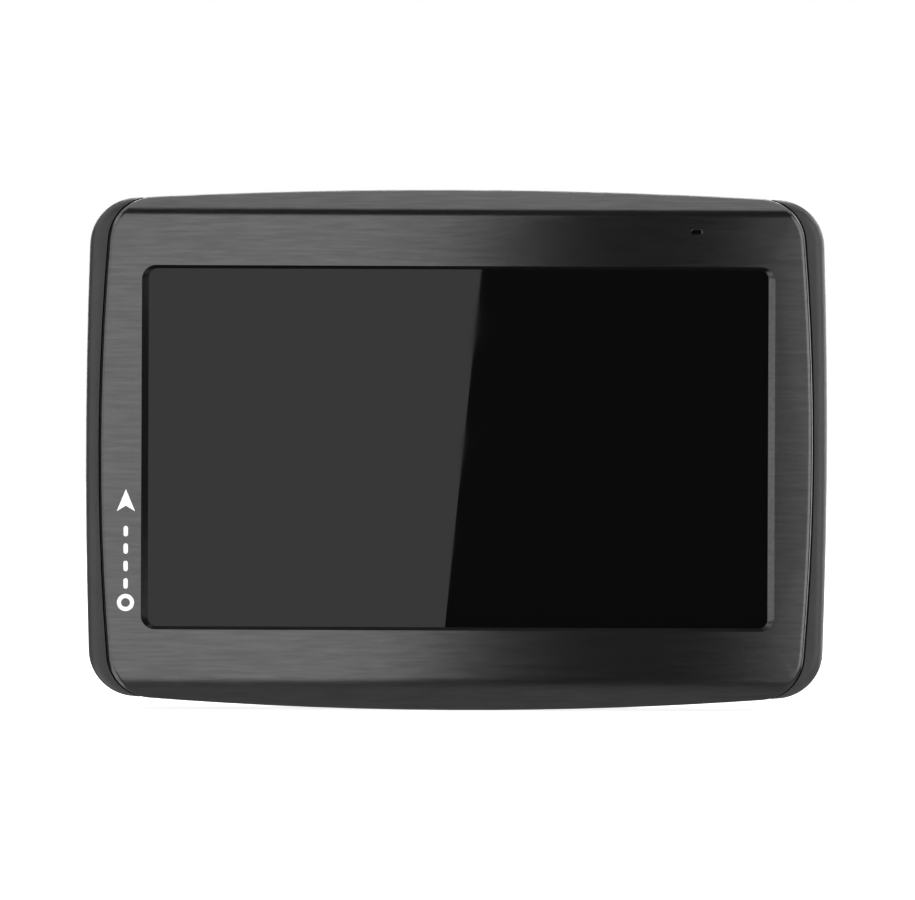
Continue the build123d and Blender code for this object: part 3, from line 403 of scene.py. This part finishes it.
def lathe(work, profile):
    """Add a closed solid turned about the mount's axis, from (radius, depth) points in mm."""
    rings = []
    for radius, behind in profile:
        if radius == 0:
            circle = [(0, MOUNT_Z)]
        else:
            circle = arc(0, MOUNT_Z, radius * MM, 0, 360 - 360 / LATHE_STEPS, LATHE_STEPS - 1)
        rings.append([work.verts.new((x, depth(behind), z)) for x, z in circle])
    for index, first in enumerate(rings):
        second = rings[(index + 1) % len(rings)]
        if len(first) == 1 and len(second) == 1:
            continue
        for step in range(LATHE_STEPS):
            after = (step + 1) % LATHE_STEPS
            quad = [first[step % len(first)], first[after % len(first)]]
            quad += [second[after % len(second)], second[step % len(second)]]
            work.faces.new(list(dict.fromkeys(quad)))      # only three corners at the axis


PRINT = 0.02 * MM                         # thickness of printed ink
PRINT_SINK = 0.01 * MM                    # how far its back lies inside the surface

BEZEL_X = -59.7 * MM                      # middle of the left bezel
ROUTE_FOOT = 19.4 * MM                    # centre of the ring
ROUTE_HEAD = 39.9 * MM                    # tip of the arrowhead
RING_INNER, RING_OUTER = 0.8 * MM, 1.55 * MM
NEARLY_ROUND = 359.9                      # degrees, so that the two ends don't overlap
DASH_HALF = 0.4 * MM
DASH, DASH_GAP = 1.9 * MM, 1.25 * MM
FIRST_DASH = 2.5 * MM                     # from the ring's centre
LAST_DASH = 4.3 * MM                      # from the arrow's tip
ARROW_HALF, ARROW_LENGTH, ARROW_NOTCH = 1.65 * MM, 4.0 * MM, 3.0 * MM


def route_print():
    """A printed route sign on the left bezel: a place ring, a dashed road and an arrowhead."""
    work = bmesh.new()
    front = FRONT_Y - PRINT
    back = FRONT_Y + PRINT_SINK
    ring = (BEZEL_X, ROUTE_FOOT, RING_INNER, RING_OUTER, 0, NEARLY_ROUND, 48)
    band(work, *ring, lambda _: front, back - front)
    z = ROUTE_FOOT + FIRST_DASH
    while z + DASH < ROUTE_HEAD - LAST_DASH:
        prism(work, slot_outline(BEZEL_X, z, z + DASH, DASH_HALF, 8), front, back)
        z += DASH + DASH_GAP
    tail = ROUTE_HEAD - ARROW_LENGTH
    notch = ROUTE_HEAD - ARROW_NOTCH
    right, left = BEZEL_X + ARROW_HALF, BEZEL_X - ARROW_HALF
    arrow = [(BEZEL_X, ROUTE_HEAD), (right, tail), (BEZEL_X, notch), (left, tail)]
    prism(work, arrow, front, back)
    add_piece("route_print", work, INK, "device", smooth=False)


DISH_DEPTH = 0.25 * MM                    # the hollow in the power button
DISH_CURVE = 48 * MM                      # twice its radius of curvature
SIGN_INNER, SIGN_OUTER = 1.25 * MM, 1.6 * MM
BAR_HALF = 0.17 * MM
BAR_FOOT, BAR_HEAD = 0.35 * MM, 1.9 * MM
BAR_LEVEL = 1.0 * MM                      # the flat bar lies as deep as the dish is at this radius


def power_print():
    """The usual on and off sign, printed in the button's dish."""
    x, z = middle("power_button", 0), middle("power_button", 2)
    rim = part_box("power_button")[1].y

    def dish(radius):
        return rim + PRINT_SINK - (DISH_DEPTH - radius**2 / DISH_CURVE)

    work = bmesh.new()
    band(work, x, z, SIGN_INNER, SIGN_OUTER, 125, 415, 40, dish, PRINT)
    low = [(x - BAR_HALF, z + BAR_FOOT), (x + BAR_HALF, z + BAR_FOOT)]
    high = [(x + BAR_HALF, z + BAR_HEAD), (x - BAR_HALF, z + BAR_HEAD)]
    prism(work, low + high, dish(BAR_LEVEL), dish(BAR_LEVEL) + PRINT)
    add_piece("power_print", work, INK, "button", smooth=False)


GAUZE_REACH = 0.55 * MM                   # from the slot's middle to the centre of each end
GAUZE_RADIUS = 0.46 * MM
GAUZE_FRONT, GAUZE_BACK = depth(1.62), depth(1.74)


def microphone_gauze_and_shade():
    """Fine black gauze across the foot of the microphone slot; its near-black tone is also painted
    shade for the depth of the slot.
    """
    x, z = middle("microphone", 0), middle("microphone", 2)
    points = arc(x + GAUZE_REACH, z, GAUZE_RADIUS, -90, 90, 14)
    points += arc(x - GAUZE_REACH, z, GAUZE_RADIUS, 90, 270, 14)
    work = bmesh.new()
    prism(work, points, GAUZE_FRONT, GAUZE_BACK)
    add_piece("microphone_gauze_and_shade", work, GAUZE_AND_SHADE, "device", smooth=False)


CONTACT_PITCH, CONTACT_WIDTH = 0.65 * MM, 0.32 * MM
CONTACT_FOOT, CONTACT_HEAD = 0.15 * MM, 1.3 * MM      # short of the blade's two ends
CONTACT_FRONT, CONTACT_BACK = depth(9.54), depth(9.62)
CONTACT_ROUND = 0.03 * MM


def inlet_contacts():
    """Five gilt contacts on the inlet's blade."""
    low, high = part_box("usb_tongue")
    middle_x = (low.x + high.x) / 2
    foot, head = low.z + CONTACT_FOOT, high.z - CONTACT_HEAD
    work = bmesh.new()
    for step in range(-2, 3):
        left = middle_x + step * CONTACT_PITCH - CONTACT_WIDTH / 2
        right = left + CONTACT_WIDTH
        outline = [(left, foot), (right, foot), (right, head), (left, head)]
        prism(work, outline, CONTACT_FRONT, CONTACT_BACK)
    contacts = add_piece("inlet_contacts", work, GILT, "device", smooth=False)
    round_corners(contacts, CONTACT_ROUND)


# The cup's closed outlines, as (radius, depth behind the front face) in millimetres
RIM_PROFILE = [
    (24.5, 24.1), (24.5, 23.3), (24.6, 23.2), (27.5, 23.2), (27.75, 23.3), (27.95, 23.6),
    (28.15, 24.0), (28.45, 24.45), (29.0, 25.05), (29.6, 25.6), (29.92, 25.95), (30.0, 26.15),
    (29.95, 26.3), (29.8, 26.38), (29.5, 26.4), (24.9, 26.4), (24.5, 26.3), (24.5, 25.2),
]
MEMBRANE_PROFILE = [
    (0, 24.95), (4.0, 24.95), (8.0, 24.96), (12.0, 25.02), (16.0, 25.14), (20.0, 25.32),
    (22.5, 25.5), (23.6, 25.75), (24.2, 26.05), (24.5, 26.2), (24.5, 25.5), (20.0, 24.9),
    (14.0, 24.7), (10.5, 24.62), (10.3, 24.4), (10.2, 23.4), (10.0, 23.05), (9.6, 23.0),
    (3.45, 23.0), (3.45, 23.4), (9.0, 23.4), (9.0, 24.4), (0, 24.4),
]


TAB_ROOT, TAB_FOOT = 29.2 * MM, 33.6 * MM             # below the mount's axis
TAB_HALF, TAB_RADIUS = 4.0 * MM, 2.4 * MM
TAB_FRONT, TAB_BACK = depth(25.55), depth(26.33)


def pull_tab(work):
    """The flat tongue at the foot of the lip, with rounded corners."""
    root = MOUNT_Z - TAB_ROOT
    round_z = MOUNT_Z - TAB_FOOT + TAB_RADIUS
    round_x = TAB_HALF - TAB_RADIUS
    points = [(-TAB_HALF, root)]
    points += arc(-round_x, round_z, TAB_RADIUS, 180, 270, 8)
    points += arc(round_x, round_z, TAB_RADIUS, 270, 360, 8)
    points += [(TAB_HALF, root)]
    prism(work, points, TAB_FRONT, TAB_BACK)


def suction_pieces():
    """The cup's lip rides on the mount, and its membrane is a piece on no body."""
    work = bmesh.new()
    lathe(work, RIM_PROFILE)
    pull_tab(work)
    lip = add_piece("cup_rim", work, LOOKS["cup_rubber"], "mount")
    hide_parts("suction_cup")
    work = bmesh.new()
    lathe(work, MEMBRANE_PROFILE)
    membrane = add_piece("cup_membrane", work, LOOKS["cup_rubber"], None)
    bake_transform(membrane)
    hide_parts("suction_cup")


JOIN_REACH = 0.001 * MM
SPLIT_ANGLE = radians(30)
FLAT_WEIGHT = 60                          # how far large faces outweigh small ones


def smooth_shading(node):
    """Join a CAD node's faces, and shade it smoothly between its sharp edges."""
    weld = node.modifiers.new("join", "WELD")
    weld.merge_threshold = JOIN_REACH
    split = node.modifiers.new("split", "EDGE_SPLIT")
    split.split_angle = SPLIT_ANGLE
    weighted = node.modifiers.new("shade", "WEIGHTED_NORMAL")
    weighted.weight = FLAT_WEIGHT


# ---- stage --------------------------------------------------------------------------------
FLOOR_RADIUS = 6.0
FLOOR_DROP = 0.05 * MM                    # below the lowest point of the part
GLOW_NEAR, GLOW_FAR = 0.86, 1.1           # emission strength near the part, and further out
GLOW_STARTS, GLOW_ENDS = 0.12, 0.6        # distances over which it rises


def floor():
    """A wide pale light table. It glows more further out, so its edge never shows."""
    mesh = bpy.data.meshes.new("floor")
    work = bmesh.new()
    bmesh.ops.create_circle(work, cap_ends=True, segments=96, radius=FLOOR_RADIUS)
    work.to_mesh(mesh)
    work.free()
    table = bpy.data.objects.new("floor", mesh)
    bpy.context.collection.objects.link(table)
    table.location.z = -FLOOR_DROP
    look = Look("pale_table", (0.82, 0.82, 0.82), 0.9)
    look.set("Emission Color", (1.0, 1.0, 1.0, 1.0))
    look.mottle(look.noise(0.4), (0.81, 0.81, 0.81), (0.83, 0.83, 0.83))
    reach = look.add("ShaderNodeVectorMath", {0: look.place}, operation="LENGTH").outputs["Value"]
    look.set("Emission Strength", look.spread(reach, GLOW_NEAR, GLOW_FAR, GLOW_STARTS, GLOW_ENDS))
    mesh.materials.append(look.material)
    table.visible_glossy = False
    table.visible_shadow = False


def softbox(name, size, place, aim, radiance, roll=0.0):
    """A rectangular light of this radiance, aimed at a point and hidden from the camera."""
    data = bpy.data.lights.new(name, "AREA")
    data.shape = "RECTANGLE"
    data.size, data.size_y = size
    data.energy = radiance * size[0] * size[1] * pi
    light = bpy.data.objects.new(name, data)
    bpy.context.collection.objects.link(light)
    light.location = place
    facing = (Vector(aim) - Vector(place)).to_track_quat("-Z", "Y")
    light.rotation_euler = (facing.to_matrix() @ Matrix.Rotation(roll, 3, "Z")).to_euler()
    light.visible_camera = False


CAMERA_DISTANCE = 0.9188                  # from the front face
CAMERA_SHIFT = 0.0002                     # to the right of the middle
CAMERA_TILT = radians(-0.23)
CARD_DISTANCE = 2.2                       # from the front face to the two front cards
CARD_Y = FRONT_Y - CARD_DISTANCE
SPREAD = 1 + CARD_DISTANCE / CAMERA_DISTANCE      # from a point of the window to what it mirrors
KEY_CARD = (1.5, 1.3)
KEY_RADIANCE = 1.21
KEY_EDGE_TOP = (4.3 * MM, 33.0 * MM)      # where its edge crosses the window, from the middle
KEY_EDGE_FOOT = (-2.1 * MM, -32.0 * MM)
RIGHT_CARD = (0.7, 1.3)
RIGHT_RADIANCE = 0.76
RIGHT_CARD_EDGE = 0.2                     # its near edge, right of the middle


def key_card():
    """Large card behind the camera, whose slanted edge shows across the middle of the window."""
    edge_top = Vector(KEY_EDGE_TOP) * SPREAD
    edge_foot = Vector(KEY_EDGE_FOOT) * SPREAD
    edge = edge_top - edge_foot
    slant = atan2(edge.x, edge.y)
    centre = (edge_top + edge_foot) / 2 - Vector((cos(slant), -sin(slant))) * KEY_CARD[0] / 2
    x, z = centre.x, MID_Z + centre.y
    softbox("key_card", KEY_CARD, (x, CARD_Y, z), (x, 0, z), KEY_RADIANCE, -slant)


def right_card():
    """Dimmer card to the right, which lights only the far end of the brushed plate."""
    x = RIGHT_CARD_EDGE + RIGHT_CARD[0] / 2
    softbox("right_card", RIGHT_CARD, (x, CARD_Y, MID_Z), (x, 0, MID_Z), RIGHT_RADIANCE)


PART = (0, 0, MID_Z)
ABOVE = (0, 0.1, 1.2)

# name, width and height, place, aim, radiance
SOFTBOXES = [
    ("left_wall", (2.0, 3.4), (-1.88, -1.15, 0.05), PART, 0.88),
    ("left_low", (1.4, 0.9), (-1.2, 0.1, -0.95), PART, 0.9),
    ("left_high", (1.4, 0.9), (-1.2, 0.1, 1.05), PART, 0.9),
    ("right_wall", (1.5, 1.6), (1.25, -1.1, 0.3), PART, 1.6),
    ("right_rim", (0.7, 1.6), (1.1, 0.4, 0.4), PART, 2.6),
    ("overhead", (1.6, 1.42), ABOVE, (ABOVE[0], ABOVE[1], 0), 1.05),
    ("back_left", (0.45, 0.9), (-0.8, 1.3, 0.36), PART, 3.0),
    ("back_right", (0.3, 1.0), (0.95, 1.15, 0.3), PART, 4.5),
    ("back_top", (0.8, 0.3), (0, 0.8, 0.9), PART, 5.0),
]


def lights():
    """Two cards for the flat front, and softboxes round the sides, the top and the back."""
    key_card()
    right_card()
    for box in SOFTBOXES:
        softbox(*box)


DIM_LIGHT = (
    ("From Min", -0.6), ("From Max", -0.3),       # Z of the direction looked in
    ("To Min", 0.4), ("To Max", 0.08),            # strength there
)


def world():
    """White to the camera. To everything else it is dim, and a little lighter from below."""
    space = bpy.data.worlds.new("studio")
    bpy.context.scene.world = space
    space.use_nodes = True
    tree = space.node_tree
    tree.nodes.clear()
    seen = tree.nodes.new("ShaderNodeBackground")
    seen.inputs["Color"].default_value = (1, 1, 1, 1)
    dim = tree.nodes.new("ShaderNodeBackground")
    towards = tree.nodes.new("ShaderNodeTexCoord")
    parts = tree.nodes.new("ShaderNodeSeparateXYZ")
    level = tree.nodes.new("ShaderNodeMapRange")
    for socket, value in DIM_LIGHT:
        level.inputs[socket].default_value = value
    path = tree.nodes.new("ShaderNodeLightPath")
    mix = tree.nodes.new("ShaderNodeMixShader")
    out = tree.nodes.new("ShaderNodeOutputWorld")
    tree.links.new(towards.outputs["Generated"], parts.inputs[0])
    tree.links.new(parts.outputs["Z"], level.inputs["Value"])
    tree.links.new(level.outputs["Result"], dim.inputs["Strength"])
    tree.links.new(path.outputs["Is Camera Ray"], mix.inputs[0])
    tree.links.new(dim.outputs[0], mix.inputs[1])
    tree.links.new(seen.outputs[0], mix.inputs[2])
    tree.links.new(mix.outputs[0], out.inputs["Surface"])


def camera():
    """Straight on at the middle of the front, with a long lens."""
    data = bpy.data.cameras.new("camera")
    data.lens = 200
    data.sensor_width = 36
    data.clip_start, data.clip_end = 0.05, 20
    viewer = bpy.data.objects.new("camera", data)
    bpy.context.collection.objects.link(viewer)
    viewer.location = (CAMERA_SHIFT, FRONT_Y - CAMERA_DISTANCE, MID_Z)
    viewer.rotation_euler = (radians(90), CAMERA_TILT, 0)
    bpy.context.scene.camera = viewer
    bpy.context.scene.view_settings.view_transform = "Standard"


dress_nodes()
route_print()
power_print()
microphone_gauze_and_shade()
inlet_contacts()
suction_pieces()
smooth_shading(NODES["rear_housing"])
smooth_shading(NODES["front_cover"])
floor()
world()
lights()
camera()
